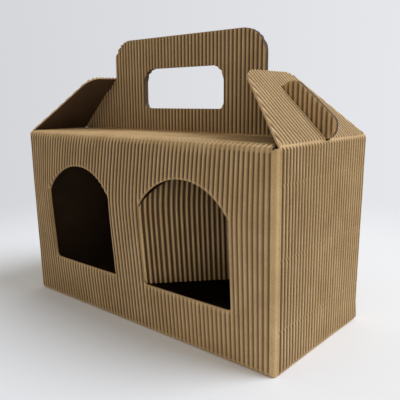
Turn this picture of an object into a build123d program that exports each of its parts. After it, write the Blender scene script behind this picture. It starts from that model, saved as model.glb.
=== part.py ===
"""Carry box for two jars, folded from one sheet of open-flute corrugated card.

The flutes are outside and the smooth liner is inside. Two arched windows open in the front wall, and the
card cut from them folds inward. Two roof panels meet in the middle and rise into a doubled carry handle.
The end flaps slope up to the handle, and each is slotted over a fin of the handle's shoulder.

Frame: origin under the middle of the box, X along the front, Y to the back, Z up, in millimetres.
"""
import math
import os

from build123d import *

# Box, over the crests of the flutes
box_width = 230.0
box_depth = 107.0
wall_height = 130.0

# Corrugated card
liner = 0.6
flute_height = 0.9
flute_pitch = 3.24
flute_paper = 0.15
flute_root = 0.2
crease_band = 2.5
fold_radius = 2.0
handle_fold_radius = 1.2

# Clearances
crease_gap = 0.3
cut_gap = 0.5
rest_gap = 0.35
slot_gap = 0.5

# Windows in the front wall
window_width = 72.0
window_spacing = 27.4
window_sill = 33.0
window_springing = 86.5
window_rise = 20.5
window_corner = 3.0
window_flap_angle = 48.0

# Handle: two panels face to face, with a sloping shoulder from each end wall up to its side
shoulder_run = 44.0
handle_top = 198.0
handle_corner = 18.0
handle_seam = 0.3
grip_width = 76.0
grip_bottom = 147.0
grip_top = 176.0
grip_top_corner = 10.5
grip_bottom_corner = 4.5

# End flaps, and the fins of the handle that lock them: along the slope, and out from it
flap_slope = 44.0
flap_base_width = 102.0
flap_tip_width = 52.0
flap_tip_corner = 14.0
roof_end_gap = 2.0
fin_low_along = 7.6
fin_low_out = 5.0
fin_low_radius = 8.0
fin_high_along = 35.0
fin_high_out = 2.8
fin_high_radius = 8.8

# Outer faces of the liner, which the flutes stand on, and the handle between its shoulders
liner_x = box_width / 2 - flute_height
liner_y = box_depth / 2 - flute_height
liner_top = wall_height - flute_height
roof_end = liner_x - liner - roof_end_gap
handle_width = box_width - 2 * shoulder_run
handle_face = handle_seam / 2 + liner
handle_half_thickness = handle_face + flute_height

# Crease lines that the moving flaps turn about, in the middle of the liner
crease_bead = liner / 2
crease_socket = crease_bead + crease_gap
end_crease_x = liner_x - liner / 2
end_crease_z = liner_top
window_crease_x = window_spacing / 2
window_crease_y = -liner_y + liner / 2

# Plane of the right end flap: X up the slope from the crease, Z out of the box
slope_angle = math.radians(flap_slope)
slope_plane = Plane(
    origin=(end_crease_x, 0, end_crease_z),
    x_dir=(-math.cos(slope_angle), 0, math.sin(slope_angle)),
    z_dir=(math.sin(slope_angle), 0, math.cos(slope_angle)),
)
side_plane = Plane(slope_plane.origin, x_dir=slope_plane.x_dir, z_dir=(0, 1, 0))
flap_tip_x = handle_width / 2 + cut_gap
flap_length = (end_crease_x - flap_tip_x - liner / 2 * math.sin(slope_angle)) / math.cos(slope_angle)
shoulder_out = -liner / 2 - rest_gap

# A tool that has to cut right through a sheet reaches this far past it
past = 5 * fold_radius


def fluting(face, run, spread):
    """Flutes on a face: they run along its X, repeat along its Y and stand up along its Z.

    Each flute has two flanks, because the sheet carries hundreds of them.
    """
    count = int(spread // flute_pitch)
    start = -count * flute_pitch / 2
    points = [(start, -flute_root), (start, flute_paper)]
    for index in range(count):
        valley = start + index * flute_pitch
        points.append((valley + flute_pitch / 2, flute_height))
        points.append((valley + flute_pitch, flute_paper))
    points.append((-start, -flute_root))
    section = Plane.YZ * make_face(Polyline(points, close=True))
    return face * extrude(section, amount=run / 2, both=True)


def rounded_block(inset):
    """The folded box as a solid block, inset from the outer face of the liner."""
    half_x = liner_x - inset
    half_y = liner_y - inset
    height = liner_top - 2 * inset
    radius = fold_radius - inset
    middle = Pos(0, 0, liner_top / 2)
    plan = extrude(RectangleRounded(2 * half_x, 2 * half_y, radius), height / 2, both=True)
    across = extrude(Plane.YZ * RectangleRounded(2 * half_y, height, radius), half_x, both=True)
    end = Rectangle(2 * half_x, height)
    end = fillet(end.vertices().group_by(Axis.Y)[0], radius)
    along = extrude(Plane.XZ * end, half_y, both=True)
    return middle * (plan & across & along)


def window_outline(inset):
    """Arched window of the front wall in X and Z, centred on its own middle line."""
    half = window_width / 2
    radius = (half**2 + window_rise**2) / (2 * window_rise)
    centre = window_springing + window_rise - radius
    half -= inset
    radius -= inset
    sill = window_sill + inset
    springing = centre + math.sqrt(radius**2 - half**2)
    sides = Polyline((-half, springing), (-half, sill), (half, sill), (half, springing))
    arch = ThreePointArc((half, springing), (0, centre + radius), (-half, springing))
    outline = make_face([sides, arch])
    return fillet(outline.vertices().group_by(Axis.Y)[0], window_corner - inset)


def window_tool(inset):
    """The right window's outline, carried through the front wall."""
    middle = Pos((window_spacing + window_width) / 2, -liner_y, 0)
    return middle * extrude(Plane.XZ * window_outline(inset), past, both=True)


def fin_outline():
    """Rounded fin of the handle's right shoulder, along the slope and out from it."""
    low = Pos(fin_low_along, fin_low_out) * Circle(fin_low_radius)
    high = Pos(fin_high_along, fin_high_out) * Circle(fin_high_radius)
    return make_hull((low + high).edges())


def handle_outline():
    """One handle panel in X and Z: shoulders, grip and hand hole."""
    root = liner_top - past
    shoulder_x = shoulder_out * math.sin(slope_angle) + end_crease_x
    shoulder_z = shoulder_out * math.cos(slope_angle) + end_crease_z
    rise = math.tan(slope_angle)
    low = shoulder_z + (shoulder_x - roof_end) * rise
    high = shoulder_z + (shoulder_x - handle_width / 2) * rise
    right = [(roof_end, root), (roof_end, low), (handle_width / 2, high)]
    left = [(-x, z) for x, z in reversed(right)]
    shoulders = make_face(Polyline(right + left, close=True))
    panel = Pos(0, (root + handle_top) / 2) * Rectangle(handle_width, handle_top - root)
    panel = fillet(panel.vertices().group_by(Axis.Y)[-1], handle_corner)
    hole = Pos(0, (grip_bottom + grip_top) / 2) * Rectangle(grip_width, grip_top - grip_bottom)
    hole = fillet(hole.vertices().group_by(Axis.Y)[-1], grip_top_corner)
    hole = fillet(hole.vertices().group_by(Axis.Y)[0], grip_bottom_corner)
    return shoulders + panel - hole


def handle_tool():
    """The handle's outline with both fins, carried through its two panels."""
    outline = extrude(Plane.XZ * handle_outline(), past, both=True)
    fin = extrude(side_plane * fin_outline(), past, both=True)
    return outline + fin + mirror(fin, Plane.YZ)


def front_handle():
    """Front handle panel: it leaves the roof in a fold and rises to the top of the handle."""
    seam = -handle_seam / 2
    roof_edge = -handle_half_thickness - past
    bend = make_face(Polyline(
        (roof_edge, liner_top - liner), (roof_edge, liner_top), (-handle_face, liner_top),
        (-handle_face, handle_top), (seam, handle_top), (seam, liner_top - liner), close=True,
    ))
    corners = bend.vertices()
    bend = fillet(corners.sort_by_distance((-handle_face, liner_top))[0], handle_fold_radius)
    corners = bend.vertices()
    bend = fillet(corners.sort_by_distance((seam, liner_top - liner))[0], handle_fold_radius + liner)
    reach = liner_x + past
    sheet = extrude(Plane.YZ * bend, reach, both=True)
    flute_bottom = liner_top + handle_fold_radius + flute_height
    middle = (flute_bottom + handle_top) / 2
    face = Plane((0, -handle_face, middle), x_dir=(0, 0, 1), z_dir=(0, -1, 0))
    return (sheet + fluting(face, handle_top - flute_bottom, 2 * reach)) & handle_tool()


def roof_fluting():
    """Flutes of the front roof panel, from the front wall's fold to the handle's fold."""
    front = -liner_y + fold_radius + crease_band
    back = -handle_face - handle_fold_radius - crease_band
    face = Plane((0, (front + back) / 2, liner_top), x_dir=(0, 1, 0), z_dir=(0, 0, 1))
    return fluting(face, back - front, 2 * roof_end)


def wall_fluting(normal):
    """Upright flutes of the wall that faces the given way, short of its folds."""
    height = liner_top - 2 * crease_band
    centre = (normal[0] * liner_x, normal[1] * liner_y, liner_top / 2)
    length = 2 * (abs(normal[0]) * liner_y + abs(normal[1]) * liner_x)
    face = Plane(centre, x_dir=(0, 0, 1), z_dir=normal)
    return fluting(face, height, length - 2 * (fold_radius + flute_height))


def front_sheet():
    """The front wall as one flat fluted panel, before its windows are cut."""
    plate = Box(2 * liner_x, liner, wall_height)
    plate = Pos(0, -liner_y + liner / 2, wall_height / 2) * plate
    return plate + wall_fluting((0, -1, 0))


def window_bead():
    """Rounded crease edge of the right window, which the window flap turns on."""
    low = window_sill + window_corner
    height = window_springing - low
    return Pos(window_crease_x, window_crease_y, low + height / 2) * Cylinder(crease_bead, height)


def end_bead():
    """Rounded crease edge along the top of the right end wall."""
    return Pos(end_crease_x, 0, end_crease_z) * Rot(90, 0, 0) * Cylinder(crease_bead, flap_base_width)


def roof_cuts():
    """Card that is not there: round the roof's ends, at the top corners and under the handle."""
    depth = 2 * (liner_y + past)
    slit_width = liner_x - liner - roof_end
    slit = Pos(roof_end + slit_width / 2, 0, liner_top) * Box(slit_width, depth, 2 * fold_radius)
    corners = Pos(roof_end + past / 2, 0, liner_top) * Box(past, depth, 2 * fold_radius)
    corners -= Pos(roof_end, 0, liner_top) * Box(4 * past, flap_base_width, 4 * fold_radius)
    middle = Pos(0, 0, liner_top) * Box(2 * roof_end, 2 * (handle_half_thickness + past), 2 * fold_radius)
    right = slit + corners
    return [right, mirror(right, Plane.YZ), middle]


def carton():
    """The folded sheet: walls, a plain flat bottom, roof and both handle panels."""
    shell = rounded_block(0) - rounded_block(liner)
    for cut in roof_cuts():
        shell -= cut
    flutes = [wall_fluting(normal) for normal in ((0, -1, 0), (0, 1, 0), (1, 0, 0), (-1, 0, 0))]
    front = [front_handle(), roof_fluting()]
    back = [mirror(piece, Plane.XZ) for piece in front]
    box = shell.fuse(*flutes, *front, *back)
    for tool in (window_tool(0), mirror(window_tool(0), Plane.YZ)):
        box -= tool
    beads = [window_bead(), end_bead()]
    return box.fuse(*beads, *[mirror(bead, Plane.YZ) for bead in beads])


def right_end_flap():
    """Right end flap: a tapering fluted panel, slotted for the handle's fin."""
    reach = Vector(fin_high_along, fin_high_out).length + fin_high_radius + slot_gap
    start = Vector(fin_low_along, fin_low_out).length - fin_low_radius - slot_gap
    outline = make_face(Polyline(
        (0, -flap_base_width / 2), (flap_length, -flap_tip_width / 2),
        (flap_length, flap_tip_width / 2), (0, flap_base_width / 2), close=True,
    ))
    outline = fillet(outline.vertices().group_by(Axis.X)[-1], flap_tip_corner)
    slot = Rectangle(reach - start, 2 * (handle_half_thickness + slot_gap))
    outline -= Pos((start + reach) / 2, 0) * slot
    plate = extrude(outline, liner / 2, both=True)
    middle = (crease_band + flap_length) / 2
    face = Plane((middle, 0, liner / 2), x_dir=(1, 0, 0), z_dir=(0, 0, 1))
    flutes = fluting(face, flap_length - crease_band, flap_base_width) & extrude(outline, past, both=True)
    socket = Rot(90, 0, 0) * Cylinder(crease_socket, 2 * flap_base_width)
    return slope_plane * (plate + flutes - socket)


def right_window_flap():
    """The card cut from the right window, folded inward about the window's inner edge."""
    flap = front_sheet() & window_tool(cut_gap)
    flap -= Pos(window_crease_x, window_crease_y, wall_height / 2) * Cylinder(crease_socket, wall_height)
    crease = Axis((window_crease_x, window_crease_y, 0), (0, 0, 1))
    return flap.rotate(crease, window_flap_angle)


def main():
    end_flap = right_end_flap()
    window_flap = right_window_flap()
    nodes = {
        "carton": carton(),
        "right_end_flap": end_flap,
        "left_end_flap": mirror(end_flap, Plane.YZ),
        "right_window_flap": window_flap,
        "left_window_flap": mirror(window_flap, Plane.YZ),
    }
    os.makedirs("parts", exist_ok=True)
    for name, shape in nodes.items():
        export_step(shape, f"parts/{name}.step")


main()
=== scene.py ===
"""Looks of the jar box: its folded card as thin sheets with rounded flutes outside and a smooth liner inside.

Every sheet is drawn as a flat pattern, u across the flutes and v along them, and is then folded into place.
"""

import math

import bpy
import numpy as np
from mathutils import Matrix, Vector


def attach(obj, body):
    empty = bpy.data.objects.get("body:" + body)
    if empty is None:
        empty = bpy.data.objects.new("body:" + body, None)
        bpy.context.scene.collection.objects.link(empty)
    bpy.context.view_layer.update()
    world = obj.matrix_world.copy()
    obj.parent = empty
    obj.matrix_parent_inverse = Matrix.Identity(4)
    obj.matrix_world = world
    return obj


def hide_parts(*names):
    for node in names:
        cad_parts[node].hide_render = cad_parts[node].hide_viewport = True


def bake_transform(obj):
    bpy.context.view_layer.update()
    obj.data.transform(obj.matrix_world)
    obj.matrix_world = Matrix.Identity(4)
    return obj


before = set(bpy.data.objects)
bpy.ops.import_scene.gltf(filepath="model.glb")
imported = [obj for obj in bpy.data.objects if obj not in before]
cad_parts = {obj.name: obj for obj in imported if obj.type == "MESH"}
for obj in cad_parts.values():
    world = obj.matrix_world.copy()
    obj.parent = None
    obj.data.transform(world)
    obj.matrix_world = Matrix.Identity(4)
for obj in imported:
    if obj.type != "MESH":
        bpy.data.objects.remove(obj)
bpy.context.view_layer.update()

# Sizes are in millimetres, as in the part's source, and become metres when a mesh is made
mm = 0.001

# Box, over the solids' plain flutes
box_width = 230.0
box_depth = 107.0
wall_height = 130.0

# Corrugated card: its liner, the solids' plain flutes, and the sheets' rounded ones, which stand taller
liner = 0.6
flute_height = 0.9
flute_pitch = 3.24
crest_height = 1.4
flute_paper = 0.15
flute_roundness = 0.65
fold_radius = 1.4
handle_fold_radius = 1.2

# Flutes stray from their even places by up to half the wander, a share of the pitch that changes at this
# pace from flute to flute, and their crests rise and fall by up to half the unevenness over dents of this
# size
flute_wander = 0.35
wander_pace = 0.21
flute_unevenness = 0.3
dent_size = 14.0

# A crease crushes the flutes flat over a band, and they stand up again over an ease. A wide fold and a
# cutting rule leave them standing by a share, and crushed flutes lie on the liner as paper of this
# thickness
crease_band = 0.6
crease_ease = 1.4
corner_band = 0.2
end_crush = (0.1, 1.0)
folded_stand = 0.45
cut_stand = 0.35
cut_ease = 1.8
crushed_paper = 0.4

# The box's own weight presses the bottom's flutes low, and its liner lies this far above the floor
bottom_stand = 0.6
bottom_lift = 1.0

# Windows in the front wall
window_width = 72.0
window_spacing = 27.4
window_sill = 33.0
window_springing = 86.5
window_rise = 20.5
window_corner = 3.0
window_flap_angle = math.radians(48.0)
cut_gap = 0.5

# The front wall bulges between its folds, most above its middle and more on the left, and the window flaps'
# creases follow it
bulge = 5.9
bulge_peak = 0.69
bulge_roundness = 0.3
bulge_skew = 0.2
bulge_squareness = 4
flap_straighter = 0.4

# The long walls splay out toward the top, and the right end wall's foot flares at the back
splay = 2.6
flare = 1.6
flare_height = 5.0
flare_start = 15.0

# Flutes are worn flatter toward the front wall's lower right and the end wall's back, by these shares per
# millimetre, and stand at their fullest where little has touched them, as on the window flaps
full_stand = 1.3
worn_stand = 0.75
front_stand = 0.92
wear_across = 0.0042
wear_down = 0.0028

# Faint lines pressed across the right end wall, at these heights
press_marks = np.array([27.0, 68.0, 109.0])
press_width = 0.7
press_depth = 0.22

# Handle
shoulder_run = 44.0
handle_top = 198.0
handle_corner = 18.0
handle_seam = 0.3
grip_width = 76.0
grip_bottom = 147.0
grip_top = 176.0
grip_top_corner = 10.5
grip_bottom_corner = 4.5

# End flaps and the fins that lock them: along the slope, out from it, and radius
flap_slope = math.radians(44.0)
flap_base_width = 102.0
flap_tip_width = 52.0
flap_tip_corner = 14.0
rest_gap = 0.35
slot_gap = 1.0
roof_end_gap = 2.0
fin_low = (7.6, 5.0, 8.0)
fin_high = (35.0, 2.8, 8.8)
fin_stand = 0.8

# The upright folds stop this far under the roof's corners, and pointed ends of an outline this far short,
# so that no face has zero height
corner_gap = 0.7
sliver = 0.1

# Counts: columns to a flute, round a rounded corner and round an upright fold, circles that sweep a fin's
# outline, and rows on a window flap
columns_per_flute = 8
rounding_columns = 9
fold_columns = 6
fin_circles = 81
window_flap_rows = 15

# Rows that shape a curve or keep the faces short: heights on the walls, distances from the roof's folds, the
# handle's foot, the end flap's crease and its slot, and shares of a fin's height
bottom_fold_rows = (0.0, 0.27, 1.0)
spare_wall_rows = (14.0, 45.0, 56.0, 78.0, 98.0, 117.0)
spare_roof_row = 15.0
spare_foot_rows = (1.1, 2.2, 8.0, 14.0)
spare_slot_rows = (12.0, 20.0, 28.0, 36.0)
spare_tip_rows = (3.0, 7.0)
spare_fin_rows = (0.0, 0.1, 0.25, 0.5, 0.75, 0.9, 1.0)

# Points of neighbouring strips that agree to this many digits become one, and edges that bend more than
# this stay sharp
weld_digits = 3
sharp_bend = math.radians(50.0)

# Papers by number. Along the cut edges of the doubled handle the liners show, dark with their painted shade,
# elsewhere raw card
fluting_number = 0
liner_number = 1
raw_number = 2

# Kraft paper: size of its cloudy patches, relief of its fibres, the range of the mottling, and the shares of
# a flute's height at which the painted shade of the valleys ends and the crest's plain colour begins
cloud_size = 18.0
fibre_relief = 0.1
mottle_range = {"From Min": 0.75, "From Max": 1.25}
valley_shade_range = {"From Min": 0.25, "From Max": 0.95}

# Room, in metres: the floor and the wall behind carry painted light, paler toward the bright side and darker
# away from it, and the floor clears away from the box, so that no horizon shows
bright_side = (0.76, 0.65, 0.0)
floor_half = 6.0
floor_painted_light_tones = ("#e5e7ee", "#f6f7fb")
floor_painted_light_range = {"From Min": -0.4, "From Max": 0.2}
floor_clear_range = {"From Min": 0.16, "From Max": 0.5}
backdrop_painted_light_tones = ("#d5d6da", "#e6e7eb")
backdrop_painted_light_range = {"From Min": -0.36, "From Max": 0.36}
room_colour = "#fffbf0"
room_strength = 0.5

# A wide window's light from high on the right, behind the box
window_light_way = (-0.56, -0.36, -0.75)
window_light_energy = 2.2
window_light_spread = math.radians(40.0)
window_light_colour = "#f4f9ff"

# The photograph's view, found from the box's corners, the handle and the windows
view_azimuth = math.radians(40.6)
view_elevation = math.radians(11.14)
view_roll = math.radians(-0.35)
view_distance = 372.2
view_target = (15.2, 0.0, 81.6)
focal_pixels = 511.6
frame_pixels = 400

# Outer faces of the liner, which the flutes stand on
liner_x = box_width / 2 - flute_height
liner_y = box_depth / 2 - flute_height
liner_top = wall_height - flute_height
wall_top = liner_top - fold_radius
straight_x = liner_x - fold_radius
straight_y = liner_y - fold_radius
roof_end = liner_x - liner - roof_end_gap
handle_half = box_width / 2 - shoulder_run
handle_face = handle_seam / 2 + liner
handle_half_thickness = handle_face + flute_height
handle_foot = liner_top + handle_fold_radius

# Hand hole: half its width, and where its upright sides begin and end
grip_half = grip_width / 2
hole_low = grip_bottom + grip_bottom_corner
hole_high = grip_top - grip_top_corner

# Creases of the flaps, and the shape of an end flap, which meets its wall in a mitre
end_crease = (liner_x - liner / 2, liner_top)
window_crease = (window_spacing / 2, -liner_y + liner / 2)
window_middle = (window_spacing + window_width) / 2
flap_tip = handle_half + cut_gap
flap_length = (end_crease[0] - flap_tip - liner / 2 * math.sin(flap_slope)) / math.cos(flap_slope)
flap_taper = (flap_base_width - flap_tip_width) / 2 / flap_length
shoulder_out = -liner / 2 - rest_gap
end_mitre = math.tan((math.pi / 2 - flap_slope) / 2)


def ease(value):
    """Goes smoothly from 0 to 1 as the value does."""
    share = np.clip(value, 0, 1)
    return share * share * (3 - 2 * share)


def standing(distance, band=crease_band, rise=crease_ease):
    """How far the flutes stand up at a distance from a crease that has crushed them flat."""
    return ease((distance - band) / rise)


def cut_pressed(depth):
    """How far the flutes stand up at a depth inside a cut edge, where the cutting rule pressed them."""
    return cut_stand + (1 - cut_stand) * ease(depth / cut_ease)


def half_pressed(stands):
    """The same at a wide fold, which presses the flutes only part way."""
    return folded_stand + (1 - folded_stand) * stands


def crush_rows(edge, way, band=crease_band):
    """Rows over which the flutes stand up beside a crease, upward for a way of 1 and downward for -1."""
    return [edge + way * (band + crease_ease * share) for share in (0, 0.5, 1)][::way]


def press_rows(mark):
    """Rows over one of the pressed lines."""
    return [mark - 2 * press_width, mark, mark + 2 * press_width]


def shares(rows):
    """Rows of a strip as shares of its height."""
    rows = np.array(rows, float)
    return (rows - rows[0]) / (rows[-1] - rows[0])


def flute_columns(low, high, exact=()):
    """Columns that follow the flutes from low to high, with the exact ones that an outline needs.

    A regular column that would crowd an exact one is left out.
    """
    step = flute_pitch / columns_per_flute
    regular = step * np.arange(math.ceil(low / step), math.floor(high / step) + 1)
    exact = np.array([low, high, *[column for column in exact if low < column < high]])
    clear = np.abs(regular[:, None] - exact).min(1) > step / 4
    return np.unique(np.concatenate([regular[clear], exact]))


def rounding(radius):
    """Distances from an upright edge at which a rounded corner needs columns."""
    return radius * (1 - np.cos(np.linspace(0, math.pi / 2, rounding_columns)))


def strip(columns, low, high, rows):
    """A grid of card between two edges of the pattern: its points, and its faces by point number."""
    low = np.broadcast_to(low, columns.shape)
    high = np.broadcast_to(high, columns.shape)
    across = np.repeat(columns, len(rows))
    along = (low[:, None] + (high - low)[:, None] * rows).ravel()
    first = (np.arange(len(columns) - 1)[:, None] * len(rows) + np.arange(len(rows) - 1)).ravel()
    quads = np.stack([first, first + len(rows), first + len(rows) + 1, first + 1], 1)
    return np.stack([across, along], 1), quads


def both_sides(columns, low, high, rows):
    """A strip right of the middle and the same one left of it."""
    low = np.broadcast_to(low, columns.shape)
    high = np.broadcast_to(high, columns.shape)
    left = strip(-columns[::-1], low[::-1], high[::-1], rows)
    return [strip(columns, low, high, rows), left]


def stacked(columns, levels, rows):
    """Strips on both sides of the middle, one above another from level to level."""
    strips = []
    for low, high, level_rows in zip(levels, levels[1:], rows):
        strips += both_sides(columns, low, high, level_rows)
    return strips


def splayed(spots):
    """Spreads the long walls toward the top fold, and the end flaps with them up to their tips."""
    tip = end_crease[1] + flap_length * math.sin(flap_slope)
    share = np.interp(spots[:, 2], [0, liner_top, tip], [0, splay / liner_y, 0])
    spread = spots.copy()
    spread[:, 1] *= 1 + share
    return spread


def rim_of(quads, count):
    """Sides of a sheet's faces that no other face shares, which run along its cut edges."""
    sides = np.concatenate([np.stack([quads[:, i], quads[:, (i + 1) % 4]], 1) for i in range(4)])
    forward = sides[:, 0] * count + sides[:, 1]
    backward = sides[:, 1] * count + sides[:, 0]
    return sides[~np.isin(forward, backward)]


def sheet_mesh(name, strips, place, edge):
    """A closed sheet of card from strips of its pattern: outer face, inner face and cut edge.

    place gives each point's spot on the liner's outer face, the way out, how far across the flutes it is, and
    how far the flutes stand up there. The edge is the number of the paper that shows where the card is cut.
    """
    starts = np.cumsum([0] + [len(points) for points, _ in strips[:-1]])
    pattern = np.concatenate([points for points, _ in strips])
    quads = np.concatenate([faces + start for (_, faces), start in zip(strips, starts)])
    spots, outward, across, stands = place(pattern[:, 0], pattern[:, 1])
    spots = splayed(spots)
    _, kept, number = np.unique(np.round(spots, weld_digits), axis=0, return_index=True, return_inverse=True)
    quads = number.ravel()[quads]
    spots, outward, across, stands = spots[kept], outward[kept], across[kept], stands[kept]
    count = len(spots)
    rim = rim_of(quads, count)
    rim_quads = np.stack([rim[:, 1], rim[:, 0], rim[:, 0] + count, rim[:, 1] + count], 1)
    faces = np.concatenate([quads, quads[:, ::-1] + count, rim_quads])
    papers = np.repeat([fluting_number, liner_number, edge], [len(quads), len(quads), len(rim)])
    pressed = crushed_paper * (1 - stands) * np.clip(1 + outward[:, 2], 0, 1)
    outer = spots + pressed[:, None] * outward
    inner = spots - liner * outward
    mesh = bpy.data.meshes.new(name)
    mesh.from_pydata((np.concatenate([outer, inner]) * mm).tolist(), [], faces.tolist())
    layers = {
        "across": ("FLOAT", "POINT", "value", np.tile(across * mm, 2)),
        "stands": ("FLOAT", "POINT", "value", np.concatenate([stands, np.zeros(count)])),
        "outward": ("FLOAT_VECTOR", "POINT", "vector", np.tile(outward, (2, 1)).ravel()),
        "paper": ("INT", "FACE", "value", papers),
    }
    for key, (kind, domain, field, values) in layers.items():
        mesh.attributes.new(key, kind, domain).data.foreach_set(field, values)
    return mesh


def turned(place):
    """Places a piece as another is placed, but turned half round to the other side."""
    half_turn = np.array([-1, -1, 1])

    def place_turned(u, v):
        spots, outward, across, stands = place(u, v)
        return spots * half_turn, outward * half_turn, across, stands

    return place_turned


def window_edges(x, inset):
    """Sill and arch of a window, or of the flap cut from it, at x from the window's middle line."""
    half = window_width / 2
    radius = (half**2 + window_rise**2) / (2 * window_rise)
    centre = window_springing + window_rise - radius
    corner = window_corner - inset
    x = np.clip(x, inset - half, half - inset)
    into_corner = corner - np.clip(half - inset - np.abs(x), 0, corner)
    sill = window_sill + inset + corner - np.sqrt(corner**2 - into_corner**2)
    return sill, centre + np.sqrt((radius - inset) ** 2 - x**2)


def window_crush(x, z):
    """How far the front wall's flutes stand up above and below the windows."""
    beside = np.abs(x) - window_middle
    sill, arch = window_edges(beside, 0)
    pressed = cut_pressed(np.maximum(z - arch, sill - z))
    return np.where(np.abs(beside) <= window_width / 2, pressed, 1)


def front_wear(x, z):
    """How far the front wall's flutes stand up after wear."""
    return np.clip(front_stand - wear_across * x + wear_down * z, worn_stand, full_stand)


def right_end_wear(y, z):
    """How far the right end wall's flutes stand up after wear, and under the pressed lines."""
    worn = full_stand - (full_stand - 1) * ease(y / straight_y + 1)
    pressed = np.exp(-(((z[:, None] - press_marks) / press_width) ** 2)).max(1)
    return worn * (1 - press_depth * pressed)


def front_bulge(x, z):
    """How far the front wall stands out of its flat plane."""
    side = x / straight_x
    up = np.clip(z / wall_top, 0, 1)
    below = up / bulge_peak
    above = (1 - up) / (1 - bulge_peak)
    rise = (below + above - np.hypot(below - above, bulge_roundness)) / 2
    return bulge * (1 - side**bulge_squareness) * (1 - bulge_skew * side) * rise


def foot_flare(y, z, turn):
    """How far the right end wall's foot stands out at the back. It dies away as the back fold turns."""
    foot = ease(z / flare_height) * ease(2 - z / flare_height)
    back = ease((y - flare_start) / (straight_y - flare_start)) * np.cos(turn)
    return flare * foot * back


# Round the four walls from the front left fold: where each wall and each fold begins, the way that the card
# faces there, and on which side of the box it is
fold_length = fold_radius * math.pi / 2
wall_lengths = [2 * straight_x, fold_length, 2 * straight_y, fold_length] * 2
wall_breaks = np.concatenate([[0], np.cumsum(wall_lengths)])
wall_middles = (wall_breaks[:-1:2] + wall_breaks[1::2]) / 2
wall_halves = np.array([straight_x, straight_y] * 2)
wall_turns = np.radians([-90, -90, 0, 0, 90, 90, 180, 180, 270])
wall_sides_x = [-1, 1, 1, 1, 1, -1, -1, -1, -1]
wall_sides_y = [-1, -1, -1, 1, 1, 1, 1, -1, -1]
front_wall, right_wall, back_wall, left_wall = range(4)

# Heights of the walls' rows, and those under and above the windows
sill_top = window_sill + window_corner
wall_rows = sorted([
    *bottom_fold_rows, fold_radius, *crush_rows(fold_radius, 1, corner_band), *spare_wall_rows,
    *[row for mark in press_marks for row in press_rows(mark)],
    sill_top - 2 * cut_ease, sill_top, window_springing, window_springing + 2 * cut_ease,
    *crush_rows(wall_top, -1), wall_top,
])
sill_rows = [row for row in wall_rows if row <= sill_top]
arch_rows = [row for row in wall_rows if row >= window_springing]


def wall_stands(wall, across, z):
    """How far the walls' flutes stand up: crushed at folds, creases and cuts, and worn."""
    end = wall % 2 == 1
    under_top = np.where(end, standing(liner_top - z, *end_crush), half_pressed(standing(wall_top - z)))
    over_bottom = half_pressed(standing(z - fold_radius, corner_band)) * np.clip(z / fold_radius, 0, 1)
    stands = under_top * over_bottom * standing(wall_halves[wall] - np.abs(across), corner_band)
    wear = [window_crush(across, z) * front_wear(across, z), right_end_wear(across, z)]
    return stands * np.select([wall == front_wall, wall == right_wall], wear, 1)


def place_walls(s, z):
    """Folds the walls' pattern round the box, s along the walls and z up, with the bottom fold rounded."""
    wall = np.clip(np.searchsorted(wall_breaks[::2], s, side="right") - 1, front_wall, left_wall)
    across = s - wall_middles[wall]
    turn = np.interp(s, wall_breaks, wall_turns)
    corner_x = straight_x * np.interp(s, wall_breaks, wall_sides_x)
    corner_y = straight_y * np.interp(s, wall_breaks, wall_sides_y)
    down = 1 - np.clip(z / fold_radius, 0, 1)
    out = np.sqrt(1 - down**2)
    outward = np.stack([np.cos(turn) * out, np.sin(turn) * out, -down], 1)
    spots = np.stack([corner_x, corner_y, np.maximum(z, fold_radius)], 1) + fold_radius * outward
    front = wall == front_wall
    spots[front, 1] -= front_bulge(np.clip(across[front], -straight_x, straight_x), z[front])
    right = wall == right_wall
    spots[right, 0] += foot_flare(across[right], z[right], turn[right])
    crease = (wall % 2 == 1) & (z == liner_top)
    outward[crease, 2] = end_mitre
    spots[crease, 2] += liner / 2 * end_mitre
    return spots, outward, across, wall_stands(wall, across, z)


def front_strips():
    """Pattern of the front wall, open at the two windows."""
    strips = []
    inner = window_spacing / 2
    outer = inner + window_width
    edges = [-straight_x, -outer, -inner, inner, outer, straight_x]
    for index, (start, end) in enumerate(zip(edges, edges[1:])):
        corners = np.concatenate([start + rounding(window_corner), end - rounding(window_corner)])
        columns = flute_columns(start, end, corners)
        places = columns + wall_middles[front_wall]
        if index % 2 == 0:
            strips.append(strip(places, 0, wall_top, shares(wall_rows)))
            continue
        sill, arch = window_edges(columns - (start + end) / 2, 0)
        strips.append(strip(places, 0, sill, shares(sill_rows)))
        strips.append(strip(places, arch, wall_top, shares(arch_rows)))
    return strips


def wall_strips():
    """Pattern of the four walls and the upright folds between them."""
    strips = front_strips()
    for wall in (right_wall, back_wall, left_wall):
        columns = flute_columns(-wall_halves[wall], wall_halves[wall]) + wall_middles[wall]
        strips.append(strip(columns, 0, wall_top, shares(wall_rows)))
        if wall != back_wall:
            strips.append(strip(columns, wall_top, liner_top, shares(range(3))))
    for start, end in zip(wall_breaks[1::2], wall_breaks[2::2]):
        columns = np.linspace(start, end, fold_columns)
        strips.append(strip(columns, 0, wall_top, shares(wall_rows)))
        strips.append(strip(columns, wall_top, liner_top - corner_gap, shares(range(2))))
    return strips


def on_slope(along, out):
    """X and Z of a point of the right slope, along it from the end wall's crease and out from it."""
    x = end_crease[0] - along * math.cos(flap_slope) + out * math.sin(flap_slope)
    z = end_crease[1] + along * math.sin(flap_slope) + out * math.cos(flap_slope)
    return x, z


def shoulder(x):
    """Height of the right shoulder at x, under the end flap that rests on it."""
    crease_x, crease_z = on_slope(0, shoulder_out)
    return crease_z + (crease_x - x) * math.tan(flap_slope)


def fin_sweep(share):
    """Circle that sweeps a fin's outline, at a share of its way: along the slope, out from it, and radius."""
    return [low + (high - low) * share for low, high in zip(fin_low, fin_high)]


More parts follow.
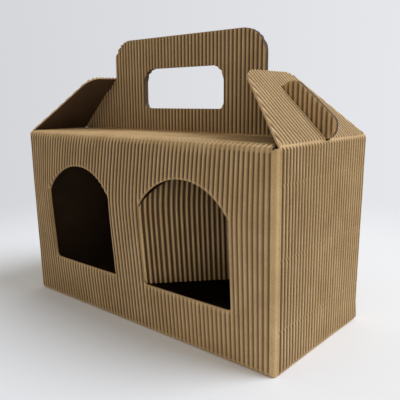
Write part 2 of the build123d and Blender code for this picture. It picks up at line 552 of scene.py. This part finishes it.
def fin_crush(x, z):
    """How far the handle's flutes stand up on the fins, which the slots and the cutting rule pressed."""
    side = end_crease[0] - np.abs(x)
    along = side * math.cos(flap_slope) + (z - end_crease[1]) * math.sin(flap_slope)
    out = (z - end_crease[1]) * math.cos(flap_slope) - side * math.sin(flap_slope)
    middle, height, radius = fin_sweep(np.clip((along - fin_low[0]) / (fin_high[0] - fin_low[0]), 0, 1))
    pressed = fin_stand * cut_pressed(radius - np.hypot(along - middle, out - height))
    return np.where((np.abs(x) > handle_half) & (out > shoulder_out), pressed, 1)


def fin_edges(x):
    """Lower and upper edge of the right fin at x."""
    along, out, radius = fin_sweep(np.linspace(0, 1, fin_circles))
    centre_x, centre_z = on_slope(along, out)
    reach = radius**2 - (x[:, None] - centre_x) ** 2
    reach = np.sqrt(np.where(reach > 0, reach, np.nan))
    return (centre_z - reach)[:, 0], np.nanmax(centre_z + reach, axis=1)


# Along a roof panel from the front wall: the top fold, the roof, the handle's fold, the handle
roof_length = straight_y - handle_face - handle_fold_radius
roof_start = fold_length
roof_stop = roof_start + roof_length
handle_start = roof_stop + handle_fold_radius * math.pi / 2

# The shoulders begin at the handle's neck, and a fin's outline ends at these two places across the handle
neck = shoulder(handle_half)
fin_reach = fin_high[0] + math.sqrt(fin_high[2] ** 2 - (fin_high[1] - shoulder_out) ** 2)
fin_start = on_slope(fin_reach, shoulder_out)[0] + sliver
fin_stop = on_slope(*fin_low[:2])[0] + fin_low[2] - sliver

# Rows of the handle: up to the hand hole, beside it, above it to the neck, and over the neck
foot_rows = shares([0, *spare_foot_rows, hole_low - handle_foot])
side_rows = shares(range(4))
neck_rows = shares(range(2))
top_rows = shares(range(6))


def place_roof(x, v):
    """Folds one roof panel with its handle panel: over the top fold, along the roof and up the handle."""
    over = np.clip(v / fold_radius, 0, math.pi / 2)
    flat = np.clip(v - roof_start, 0, roof_length)
    up = np.clip((v - roof_stop) / handle_fold_radius, 0, math.pi / 2)
    rise = np.maximum(v - handle_start, 0)
    y = -liner_y + fold_radius * (1 - np.cos(over)) + flat + handle_fold_radius * np.sin(up)
    z = wall_top + fold_radius * np.sin(over) + handle_fold_radius * (1 - np.cos(up)) + rise
    outward = np.stack([np.zeros_like(x), -np.cos(over - up), np.sin(over - up)], 1)
    on_roof = half_pressed(standing(v - roof_start)) * standing(roof_stop - v)
    on_handle = standing(v - handle_start, 0) * fin_crush(x, z)
    stands = np.where(v < roof_stop, on_roof, on_handle)
    return np.stack([x, y, z], 1), outward, x, stands


def handle_row(z):
    """Where a height on the handle lies in the pattern."""
    return handle_start + z - handle_foot


def roof_columns(low, high):
    """Columns of the roof and the handle, with those that the hand hole, the corners and the fins need."""
    exact = np.concatenate([
        [grip_half, handle_half, fin_start, roof_end],
        grip_half - rounding(grip_top_corner),
        grip_half - rounding(grip_bottom_corner),
        handle_half - rounding(handle_corner),
        fin_start + rounding(fin_high[2])[1:],
        fin_stop - rounding(fin_low[2])[1:],
    ])
    return flute_columns(low, high, [*exact, *-exact])


def panel_strips():
    """Pattern of the roof panel itself, from the front wall to the handle's foot."""
    rows = shares([
        0, roof_start / 3, roof_start * 2 / 3, roof_start,
        *crush_rows(roof_start, 1), roof_start + spare_roof_row,
        roof_stop - spare_roof_row, *crush_rows(roof_stop, -1),
        roof_stop, (roof_stop + handle_start) / 2, handle_start,
    ])
    return [strip(roof_columns(-roof_end, roof_end), 0, handle_start, rows)]


def grip_strips():
    """Pattern of the handle under and over the hand hole."""
    x = roof_columns(-grip_half, grip_half)
    low_reach = np.maximum(np.abs(x) - grip_half + grip_bottom_corner, 0)
    high_reach = np.maximum(np.abs(x) - grip_half + grip_top_corner, 0)
    hole_floor = hole_low - np.sqrt(grip_bottom_corner**2 - low_reach**2)
    hole_roof = hole_high + np.sqrt(grip_top_corner**2 - high_reach**2)
    over_hole = hole_roof + (neck - hole_high)
    return [
        strip(x, handle_start, handle_row(hole_floor), foot_rows),
        strip(x, handle_row(hole_roof), handle_row(over_hole), neck_rows),
        strip(x, handle_row(over_hole), handle_row(handle_top), top_rows),
    ]


def grip_side_strips():
    """Pattern of the handle beside the hand hole, up to its rounded top corners."""
    x = roof_columns(grip_half, handle_half)
    corner_reach = np.maximum(x - handle_half + handle_corner, 0)
    top = handle_top - handle_corner + np.sqrt(handle_corner**2 - corner_reach**2)
    levels = [handle_start, *[handle_row(level) for level in (hole_low, hole_high, neck, top)]]
    return stacked(x, levels, (foot_rows, side_rows, neck_rows, top_rows))


def shoulder_strips():
    """Pattern of the two shoulders, which get lower toward the ends."""
    x = roof_columns(handle_half, roof_end)
    share = (shoulder(x) - handle_foot) / (neck - handle_foot)
    heights = [share * (level - handle_foot) for level in (handle_foot, hole_low, hole_high, neck)]
    levels = [handle_row(handle_foot + height) for height in heights]
    return stacked(x, levels, (foot_rows, side_rows, neck_rows))


def fin_strips():
    """Pattern of the two fins, which stand on the shoulders and reach out past the roof."""
    x = roof_columns(fin_start, fin_stop)
    fin_floor, fin_top = fin_edges(x)
    floor = np.where(x <= roof_end, shoulder(x), np.maximum(fin_floor, shoulder(roof_end)))
    return both_sides(x, handle_row(floor), handle_row(fin_top), shares(spare_fin_rows))


def roof_strips():
    """Pattern of one roof panel with its handle panel, shoulders and fins."""
    return panel_strips() + grip_strips() + grip_side_strips() + shoulder_strips() + fin_strips()


def flap_edge(y):
    """How far up the slope an end flap reaches at y: its tapering sides and its rounded tip."""
    half = flap_base_width / 2
    slant = math.hypot(1, flap_taper)
    round_v = flap_length - flap_tip_corner
    round_y = half - flap_taper * round_v - flap_tip_corner * slant
    meet_y = round_y + flap_tip_corner / slant
    reach = np.clip(y - round_y, 0, flap_tip_corner)
    return np.where(y < meet_y, round_v + np.sqrt(flap_tip_corner**2 - reach**2), (half - y) / flap_taper)


def end_flap_strips():
    """Pattern of an end flap, slotted for the fin: across it and up the slope."""
    slot_half = handle_half_thickness + slot_gap
    slot_low = math.hypot(*fin_low[:2]) - fin_low[2] - slot_gap
    slot_high = math.hypot(*fin_high[:2]) + fin_high[2] + slot_gap
    low_rows = shares([0, slot_low])
    slot_rows = shares([slot_low, *crush_rows(0, 1)[1:], *spare_slot_rows, slot_high])
    tip_rows = shares([slot_high, *[slot_high + row for row in spare_tip_rows], flap_length])
    y = flute_columns(slot_half, flap_base_width / 2 - flap_taper)
    levels = [flap_edge(y) / flap_length * level for level in (0, slot_low, slot_high, flap_length)]
    strips = stacked(y, levels, (low_rows, slot_rows, tip_rows))
    y = flute_columns(-slot_half, slot_half)
    strips.append(strip(y, slot_high, flap_length, tip_rows))
    return strips


def place_end_flap(y, v):
    """Leans the right end flap from its crease up to the handle."""
    along = np.array([-math.cos(flap_slope), 0, math.sin(flap_slope)])
    out = np.array([math.sin(flap_slope), 0, math.cos(flap_slope)])
    outward = out - np.where(v == 0, end_mitre, 0)[:, None] * along
    spots = np.array([end_crease[0], 0, end_crease[1]]) + v[:, None] * along + liner / 2 * outward
    spots[:, 1] = y
    stands = standing(v, *end_crush) * cut_pressed(flap_base_width / 2 - flap_taper * v - np.abs(y))
    return spots, outward, y + flute_pitch / 2, stands


def window_flap_strips(side):
    """Pattern of the card cut from the right window for 1, or the left for -1, from crease to free edge."""
    crease = window_crease[0]
    free = crease + window_width - cut_gap
    corners = np.concatenate([crease + cut_gap + rounding(window_corner), free - rounding(window_corner)])
    columns = flute_columns(crease, free, corners)
    sill, arch = window_edges(columns - window_middle, cut_gap)
    strips = both_sides(columns, sill, arch, shares(range(window_flap_rows)))
    return strips[:1] if side > 0 else strips[1:]


def place_window_flap(x, z):
    """Folds a window flap inward, with its crease on the edge of the bulging wall."""
    side = np.sign(x)
    away = np.abs(x) - window_crease[0]
    sine, cosine = math.sin(window_flap_angle), math.cos(window_flap_angle)
    outward = np.stack([side * sine, np.full_like(x, -cosine), np.zeros_like(x)], 1)
    crease = np.stack([side * window_crease[0], np.full_like(x, window_crease[1]), z], 1)
    into = np.stack([side * cosine, np.full_like(x, sine), np.zeros_like(x)], 1)
    spots = crease + away[:, None] * into + liner / 2 * outward
    spots[:, 1] -= front_bulge(side * window_crease[0], z) * (1 - flap_straighter * away / window_width)
    return spots, outward, x, full_stand * standing(away, corner_band)


def bottom_strips():
    """Pattern of the bottom, up to the folds."""
    rows = shares([-straight_y, *crush_rows(-straight_y, 1), 0, *crush_rows(straight_y, -1), straight_y])
    return [strip(flute_columns(-straight_x, straight_x), -straight_y, straight_y, rows)]


def place_bottom(x, v):
    """Lays the bottom flat between the folds, lifted to stand on its low flutes."""
    clear = standing(np.minimum(straight_x - np.abs(x), straight_y - np.abs(v)))
    spots = np.stack([x, -v, bottom_lift * clear], 1)
    outward = np.tile([0.0, 0.0, -1.0], (len(x), 1))
    return spots, outward, x, bottom_stand * clear


def linear(code, alpha=1.0):
    """An sRGB hex colour as linear values."""
    parts = [int(code[i:i + 2], 16) / 255 for i in (1, 3, 5)]
    return [part / 12.92 if part <= 0.04045 else ((part + 0.055) / 1.055) ** 2.4 for part in parts] + [alpha]


def add(tree, kind, inputs=None, **settings):
    """Adds a node with its settings, and sets or links its inputs by name or number.

    An input is given a value, a socket, or a node, which stands for the first of its outputs in use.
    """
    made = tree.nodes.new(kind)
    for key, value in settings.items():
        setattr(made, key, value)
    for key, value in (inputs or {}).items():
        if isinstance(value, bpy.types.Node):
            value = next(output for output in value.outputs if output.enabled)
        if isinstance(value, bpy.types.NodeSocket):
            tree.links.new(value, made.inputs[key])
        else:
            made.inputs[key].default_value = value
    return made


def new_material(name):
    """An empty node material, and its tree."""
    material = bpy.data.materials.new(name)
    material.use_nodes = True
    material.node_tree.nodes.clear()
    return material, material.node_tree


def kraft(name, light, dark, valley_shade, roughness, fibre, grain):
    """Unbleached kraft paper: matt brown with darker fibre flecks and cloudy patches, and painted shade that
    darkens it between the flutes.

    Real fibres are under 0.1 mm thick, too fine to show, so the flecks are drawn as coarse as the fibre size.
    """
    material, tree = new_material(name)
    spot = add(tree, "ShaderNodeTexCoord").outputs["Object"]
    clouds = add(tree, "ShaderNodeTexNoise", {"Vector": spot, "Scale": 1 / (cloud_size * mm), "Detail": 4.0})
    fleck_look = {"Vector": spot, "Scale": 1 / (fibre * mm), "Detail": 3.0, "Roughness": 0.65}
    flecks = add(tree, "ShaderNodeTexNoise", fleck_look)
    mottle = add(tree, "ShaderNodeMath", {0: clouds, 1: flecks}, operation="ADD")
    tone = add(tree, "ShaderNodeMapRange", {"Value": mottle, **mottle_range})
    # A Mix node's colours are its inputs 6 and 7, after those for numbers and vectors
    paper = add(tree, "ShaderNodeMix", {0: tone, 6: linear(dark), 7: linear(light)}, data_type="RGBA")
    crest = add(tree, "ShaderNodeAttribute", attribute_name="crest").outputs["Fac"]
    raised = add(tree, "ShaderNodeMapRange", {"Value": crest, **valley_shade_range})
    # The valleys' darker colour is painted shade, which fades out toward the crests
    colour = add(tree, "ShaderNodeMix", {0: raised, 6: linear(valley_shade), 7: paper}, data_type="RGBA")
    bump = add(tree, "ShaderNodeBump", {"Height": flecks, "Strength": grain, "Distance": fibre_relief * mm})
    look = {"Base Color": colour, "Normal": bump, "Roughness": roughness}
    shader = add(tree, "ShaderNodeBsdfPrincipled", look)
    add(tree, "ShaderNodeOutputMaterial", {"Surface": shader})
    return material


def flute_wave(tree, across, given):
    """Adds the nodes of the flutes' rounded wave, 0 in valleys and 1 on crests, a little out of step."""
    turns = add(tree, "ShaderNodeMath", {0: across, 1: given["Pitch"]}, operation="DIVIDE")
    slow = add(tree, "ShaderNodeMath", {0: turns, 1: wander_pace, 2: given["Seed"]}, operation="MULTIPLY_ADD")
    noise = add(tree, "ShaderNodeTexNoise", {"W": slow, "Scale": 1.0, "Detail": 2.0}, noise_dimensions="1D")
    drift = add(tree, "ShaderNodeMath", {0: noise, 1: 0.5}, operation="SUBTRACT")
    strayed = add(tree, "ShaderNodeMath", {0: drift, 1: given["Wander"], 2: turns}, operation="MULTIPLY_ADD")
    angle = add(tree, "ShaderNodeMath", {0: strayed, 1: 2 * math.pi}, operation="MULTIPLY")
    cosine = add(tree, "ShaderNodeMath", {0: angle}, operation="COSINE")
    even = add(tree, "ShaderNodeMath", {0: cosine, 1: -0.5, 2: 0.5}, operation="MULTIPLY_ADD")
    return add(tree, "ShaderNodeMath", {0: even, 1: given["Roundness"]}, operation="POWER")


def flute_rise(tree, wave, given):
    """Adds the nodes of the flutes' height over the liner, with dents in their crests."""
    spot = add(tree, "GeometryNodeInputPosition")
    dent_look = {"Vector": spot, "W": given["Seed"], "Scale": 1 / (dent_size * mm), "Detail": 2.0}
    dents = add(tree, "ShaderNodeTexNoise", dent_look, noise_dimensions="4D")
    dent = add(tree, "ShaderNodeMath", {0: dents, 1: 0.5}, operation="SUBTRACT")
    full = add(tree, "ShaderNodeMath", {0: dent, 1: given["Unevenness"], 2: 1.0}, operation="MULTIPLY_ADD")
    over_paper = add(tree, "ShaderNodeMath", {0: given["Height"], 1: given["Paper"]}, operation="SUBTRACT")
    crest = add(tree, "ShaderNodeMath", {0: over_paper, 1: full}, operation="MULTIPLY")
    return add(tree, "ShaderNodeMath", {0: wave, 1: crest, 2: given["Paper"]}, operation="MULTIPLY_ADD")


def flute_tree(papers):
    """Nodes that raise rounded flutes on a sheet's outer face and give each face its paper."""
    tree = bpy.data.node_groups.new("flutes", "GeometryNodeTree")
    tree.interface.new_socket("Sheet", in_out="INPUT", socket_type="NodeSocketGeometry")
    for label in ("Pitch", "Height", "Paper", "Roundness", "Wander", "Unevenness"):
        tree.interface.new_socket(label, in_out="INPUT", socket_type="NodeSocketFloat")
    tree.interface.new_socket("Seed", in_out="INPUT", socket_type="NodeSocketInt")
    tree.interface.new_socket("Sheet", in_out="OUTPUT", socket_type="NodeSocketGeometry")
    given = add(tree, "NodeGroupInput").outputs
    kinds = {"across": "FLOAT", "stands": "FLOAT", "outward": "FLOAT_VECTOR", "paper": "INT"}
    across, stands, outward, paper = [
        add(tree, "GeometryNodeInputNamedAttribute", {"Name": name}, data_type=kind)
        for name, kind in kinds.items()
    ]

    wave = flute_wave(tree, across, given)
    rise = flute_rise(tree, wave, given)
    raised = add(tree, "ShaderNodeMath", {0: rise, 1: stands}, operation="MULTIPLY")
    offset = add(tree, "ShaderNodeVectorMath", {0: outward, "Scale": raised}, operation="SCALE")
    shape = add(tree, "GeometryNodeSetPosition", {"Geometry": given["Sheet"], "Offset": offset})

    # How near each point is to a crest is kept for the painted shade of the valleys in the paper's colour
    depth = add(tree, "ShaderNodeMath", {0: wave, 1: 1.0}, operation="SUBTRACT")
    crest = add(tree, "ShaderNodeMath", {0: depth, 1: stands, 2: 1.0}, operation="MULTIPLY_ADD")
    stored = {"Geometry": shape, "Name": "crest", "Value": crest}
    shape = add(tree, "GeometryNodeStoreNamedAttribute", stored, data_type="FLOAT", domain="POINT")

    shape = add(tree, "GeometryNodeSetShadeSmooth", {"Geometry": shape, "Shade Smooth": True}, domain="FACE")
    bend = add(tree, "GeometryNodeInputMeshEdgeAngle")
    sharp = add(tree, "FunctionNodeCompare", {"A": bend, "B": sharp_bend}, operation="GREATER_THAN")
    creased = {"Geometry": shape, "Selection": sharp, "Shade Smooth": False}
    shape = add(tree, "GeometryNodeSetShadeSmooth", creased, domain="EDGE")

    shape = add(tree, "GeometryNodeRealizeInstances", {"Geometry": shape})
    for number, material in papers.items():
        # A Compare node's whole numbers are its inputs 2 and 3
        chosen = add(tree, "FunctionNodeCompare", {2: paper, 3: number}, data_type="INT", operation="EQUAL")
        painted = {"Geometry": shape, "Selection": chosen, "Material": material}
        shape = add(tree, "GeometryNodeSetMaterial", painted)
    add(tree, "NodeGroupOutput", {"Sheet": shape})
    return tree


def fluted(name, strips, place, edge, tree, seed):
    """A finished sheet: its pattern folded, fluted by the nodes and made a plain mesh."""
    pattern = bpy.data.objects.new(name + "_pattern", sheet_mesh(name + "_pattern", strips, place, edge))
    bpy.context.scene.collection.objects.link(pattern)
    modifier = pattern.modifiers.new("flutes", "NODES")
    modifier.node_group = tree
    values = {
        "Pitch": flute_pitch * mm, "Height": crest_height * mm, "Paper": flute_paper * mm,
        "Roundness": flute_roundness, "Wander": flute_wander, "Unevenness": flute_unevenness, "Seed": seed,
    }
    for item in tree.interface.items_tree:
        if item.name in values:
            modifier[item.identifier] = values[item.name]
    graph = bpy.context.evaluated_depsgraph_get()
    mesh = bpy.data.meshes.new_from_object(pattern.evaluated_get(graph))
    bpy.data.objects.remove(pattern)
    piece = bpy.data.objects.new(name, mesh)
    bpy.context.scene.collection.objects.link(piece)
    return piece


def hang(piece):
    """Bakes a flap's place into its mesh.
    """
    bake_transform(piece)


def pale_studio_paper():
    """Pale matt paper with painted light, brighter toward the light and darker away from it, that clears away
    from the box to show the wall behind.
    """
    material, tree = new_material("pale_studio_paper")
    spot = add(tree, "ShaderNodeTexCoord").outputs["Object"]
    # Painted light: the floor's colour grows paler toward the bright side
    sideways = add(tree, "ShaderNodeVectorMath", {0: spot, 1: bright_side}, operation="DOT_PRODUCT")
    share = add(tree, "ShaderNodeMapRange", {"Value": sideways, **floor_painted_light_range})
    tones = {0: share, 6: linear(floor_painted_light_tones[0]), 7: linear(floor_painted_light_tones[1])}
    tone = add(tree, "ShaderNodeMix", tones, data_type="RGBA")
    shader = add(tree, "ShaderNodeBsdfPrincipled", {"Base Color": tone, "Roughness": 0.9})
    away = add(tree, "ShaderNodeVectorMath", {0: spot}, operation="LENGTH")
    reach = {"Value": away, **floor_clear_range}
    cleared = add(tree, "ShaderNodeMapRange", reach, interpolation_type="SMOOTHSTEP")
    clear = add(tree, "ShaderNodeBsdfTransparent")
    mixed = add(tree, "ShaderNodeMixShader", {0: cleared, 1: shader, 2: clear})
    add(tree, "ShaderNodeOutputMaterial", {"Surface": mixed})
    return material


def studio_floor():
    """A pale floor under the box."""
    corners = [(x * floor_half, y * floor_half, 0) for x, y in ((-1, -1), (1, -1), (1, 1), (-1, 1))]
    mesh = bpy.data.meshes.new("studio_floor")
    mesh.from_pydata(corners, [], [(0, 1, 2, 3)])
    mesh.materials.append(pale_studio_paper())
    floor = bpy.data.objects.new("studio_floor", mesh)
    bpy.context.scene.collection.objects.link(floor)


def studio_room():
    """Soft light from all round, with a pale wall as the background that is seen or mirrored, painted paler
    toward the bright side as painted light.
    """
    world = bpy.data.worlds.new("studio")
    bpy.context.scene.world = world
    world.use_nodes = True
    tree = world.node_tree
    tree.nodes.clear()
    soft = add(tree, "ShaderNodeBackground", {"Color": linear(room_colour), "Strength": room_strength})
    # Painted light: the wall behind is paler toward the bright side
    facing = add(tree, "ShaderNodeTexCoord").outputs["Generated"]
    sideways = add(tree, "ShaderNodeVectorMath", {0: facing, 1: bright_side}, operation="DOT_PRODUCT")
    share = add(tree, "ShaderNodeMapRange", {"Value": sideways, **backdrop_painted_light_range})
    tones = {0: share, 6: linear(backdrop_painted_light_tones[0]), 7: linear(backdrop_painted_light_tones[1])}
    wall = add(tree, "ShaderNodeMix", tones, data_type="RGBA")
    seen = add(tree, "ShaderNodeBackground", {"Color": wall, "Strength": 1.0})
    rays = add(tree, "ShaderNodeLightPath").outputs
    through = {0: rays["Is Glossy Ray"], 1: rays["Is Transmission Ray"]}
    mirrored = add(tree, "ShaderNodeMath", through, operation="MAXIMUM")
    shown = add(tree, "ShaderNodeMath", {0: rays["Is Camera Ray"], 1: mirrored}, operation="MAXIMUM")
    mixed = add(tree, "ShaderNodeMixShader", {0: shown, 1: soft, 2: seen})
    add(tree, "ShaderNodeOutputWorld", {"Surface": mixed})


def window_light():
    """Soft light from a wide window."""
    lamp = bpy.data.lights.new("window_light", "SUN")
    lamp.energy = window_light_energy
    lamp.color = linear(window_light_colour)[:3]
    lamp.angle = window_light_spread
    light = bpy.data.objects.new("window_light", lamp)
    light.rotation_euler = Vector(window_light_way).to_track_quat("-Z", "Y").to_euler()
    bpy.context.scene.collection.objects.link(light)


def photo_camera():
    """A camera at the photograph's view."""
    level = Vector((math.sin(view_azimuth), -math.cos(view_azimuth), 0))
    back = level * math.cos(view_elevation) + Vector((0, 0, math.sin(view_elevation)))
    right = Vector((math.cos(view_azimuth), math.sin(view_azimuth), 0))
    up = back.cross(right)
    rolled_right = right * math.cos(view_roll) + up * math.sin(view_roll)
    rolled_up = up * math.cos(view_roll) - right * math.sin(view_roll)
    turn = Matrix((rolled_right, rolled_up, back)).transposed().to_4x4()
    data = bpy.data.cameras.new("photo_camera")
    data.sensor_width = 36.0
    data.lens = data.sensor_width * focal_pixels / frame_pixels
    data.clip_start = 0.01
    camera = bpy.data.objects.new("photo_camera", data)
    camera.matrix_world = Matrix.Translation((Vector(view_target) + back * view_distance) * mm) @ turn
    bpy.context.scene.collection.objects.link(camera)
    bpy.context.scene.camera = camera


# Outside, the flutes' paper: matt light brown on the crests, with painted shade in the valleys
fluting_paper = kraft(
    "kraft_fluting_paper", "#d5b483", "#bc9967", "#5c4226", roughness=0.65, fibre=0.9, grain=0.35,
)
# Inside, the smooth liner: kraft brown darkened with painted shade, which keeps the inside of the box and the
# undersides of the flaps dark
shaded_liner_paper = kraft(
    "kraft_liner_paper", "#5d4630", "#4e3a26", "#4e3a26", roughness=0.75, fibre=1.2, grain=0.2,
)
# Cut edges: rough pale fibres with no gloss, which draw a light line round the windows
edge_paper = kraft(
    "raw_card_edge", "#d0b086", "#b9966a", "#b9966a", roughness=0.9, fibre=0.6, grain=0.4,
)
flutes = flute_tree({fluting_number: fluting_paper, liner_number: shaded_liner_paper, raw_number: edge_paper})

pieces = [
    ("carton_walls", wall_strips(), place_walls, raw_number, "carton"),
    ("carton_bottom", bottom_strips(), place_bottom, raw_number, "carton"),
    ("carton_front_roof", roof_strips(), place_roof, liner_number, "carton"),
    ("carton_back_roof", roof_strips(), turned(place_roof), liner_number, "carton"),
    ("right_end_flap_sheet", end_flap_strips(), place_end_flap, raw_number, "right_end_flap"),
    ("left_end_flap_sheet", end_flap_strips(), turned(place_end_flap), raw_number, "left_end_flap"),
    ("right_window_flap_sheet", window_flap_strips(1), place_window_flap, raw_number, "right_window_flap"),
    ("left_window_flap_sheet", window_flap_strips(-1), place_window_flap, raw_number, "left_window_flap"),
]
for seed, (name, strips, place, edge, body) in enumerate(pieces):
    piece = fluted(name, strips, place, edge, flutes, seed)
    if body.endswith("end_flap"):
        hang(piece)
    elif body.endswith("window_flap"):
        hang(piece)
    else:
        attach(piece, body)
    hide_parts(body)

studio_floor()
studio_room()
window_light()
photo_camera()
bpy.context.scene.view_settings.view_transform = "Standard"
